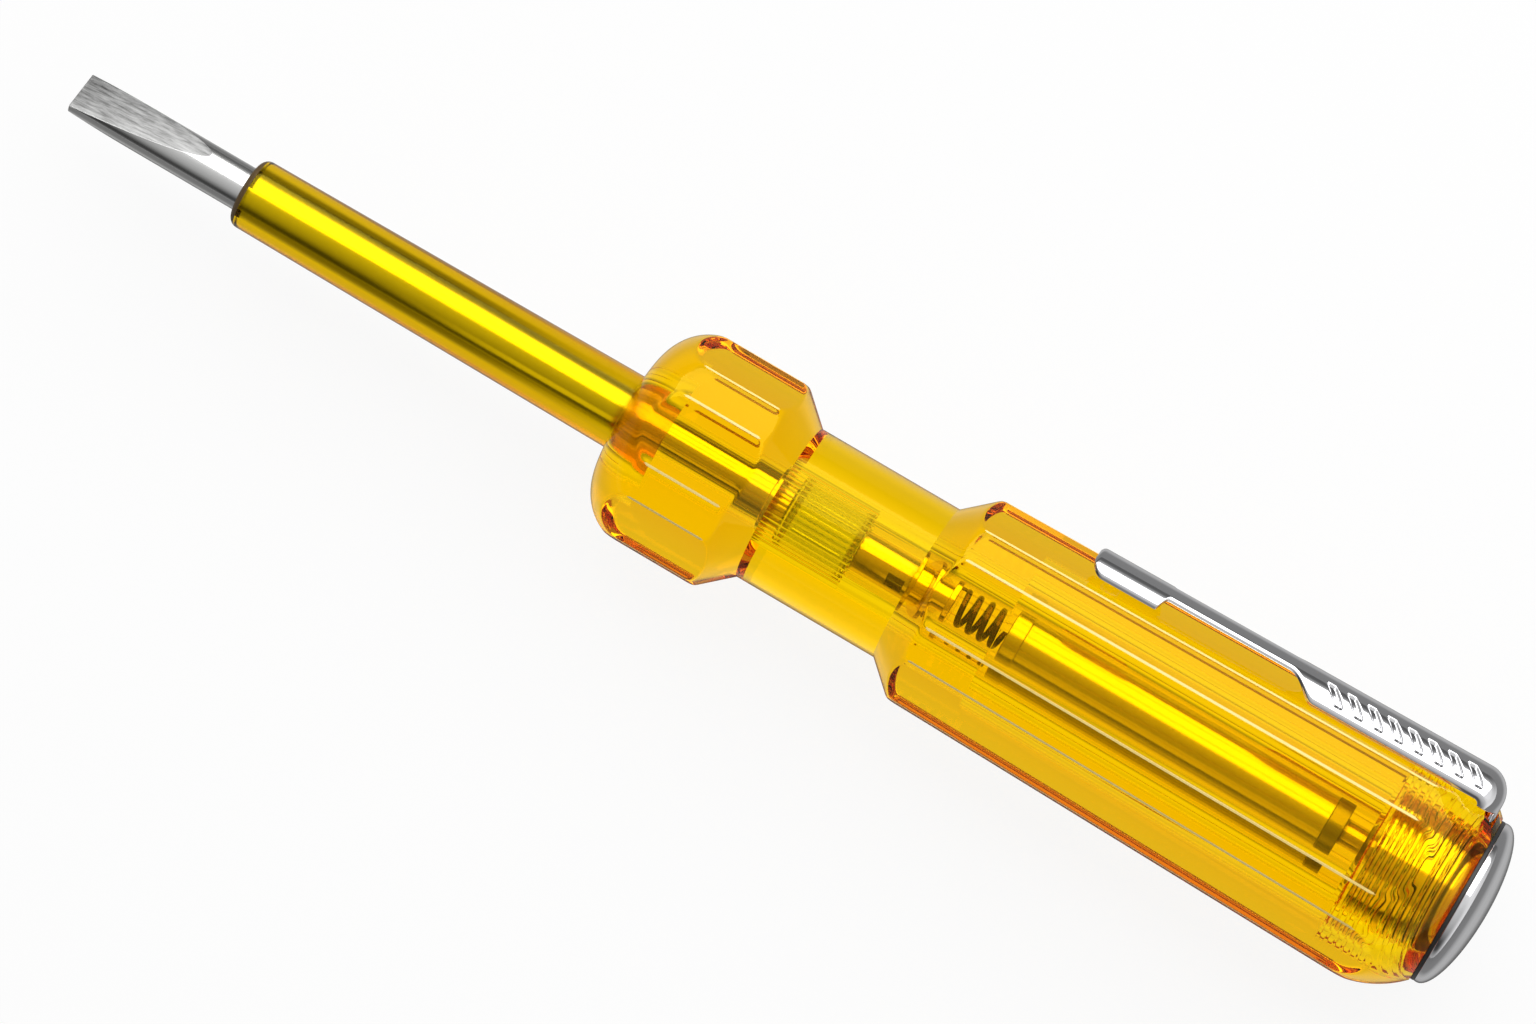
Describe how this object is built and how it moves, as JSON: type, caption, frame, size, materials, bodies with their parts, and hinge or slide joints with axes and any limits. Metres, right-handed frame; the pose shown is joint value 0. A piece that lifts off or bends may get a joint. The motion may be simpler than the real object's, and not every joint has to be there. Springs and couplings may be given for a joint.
{
  "type": "voltage tester screwdriver",
  "caption": "Clear amber voltage tester screwdriver with a flat steel blade in a sleeve, a glow lamp and resistor in a faceted handle, a screw-in touch cap and a pocket clip",
  "frame": {"origin": "centre of the square blade tip, on the tool axis", "axes": "+X runs along the tool from the blade tip to the touch cap; +Z is the wide flat that faces up; +Y is the side with the pocket clip"},
  "size_m": [0.1303, 0.0202, 0.019],
  "materials": {
    "amber_plastic": "clear amber moulded plastic, polished",
    "blade_steel": "nickel plated steel, fine lengthwise wear",
    "sleeve_plastic": "clear amber sleeve tight on the rod",
    "lamp_brass": "plain drawn brass",
    "lamp_glass": "clear blown glass",
    "nickel": "nickel wire",
    "plug_brass": "turned bright brass",
    "spring_brass": "drawn spring wire",
    "resistor_cap": "tinned pressed caps",
    "resistor_film": "lacquered rod, satin",
    "black_seal": "black sealing washer",
    "chrome": "bright chrome plate"
  },
  "bodies": {
    "handle": {"handle": "amber_plastic", "blade": "blade_steel", "blade_collar": "blade_steel", "blade_sleeve": "sleeve_plastic", "lamp_front_cap": "lamp_brass", "lamp_glass": "lamp_glass", "lamp_front_electrode": "nickel", "lamp_rear_electrode": "nickel", "lamp_rear_cap": "lamp_brass", "lamp_ring": "lamp_brass", "contact_nipple": "plug_brass", "contact_spring": "spring_brass"},
    "core": {"resistor_front_cap": "resistor_cap", "resistor_body": "resistor_film", "resistor_rear_cap": "resistor_cap"},
    "end_cap": {"plug_nose": "lamp_brass", "end_plug": "plug_brass", "cap_washer": "black_seal", "cap_dome": "chrome"},
    "clip": {"pocket_clip": "chrome"}
  },
  "joints": [
    {"name": "core_slide", "type": "slide", "parent": "handle", "child": "core", "axis": [1, 0, 0], "range_m": [0, 0.00455], "deforming": ["contact_spring"]},
    {"name": "cap_turn", "type": "hinge", "parent": "core", "child": "end_cap", "pos_m": [0.123, 0, 0], "axis": [1, 0, 0], "range_deg": [0, 2345]},
    {"name": "clip_flex", "type": "hinge", "parent": "handle", "child": "clip", "pos_m": [0.1266, 0.0064, 0.0037], "axis": [0, 0.5, -0.866], "range_deg": [0, 4], "stiffness_Nm_per_rad": 0.5}
  ],
  "couplings": [
    {"joint": "cap_turn", "follows": "core_slide", "rad_per_m": 8976}
  ]
}
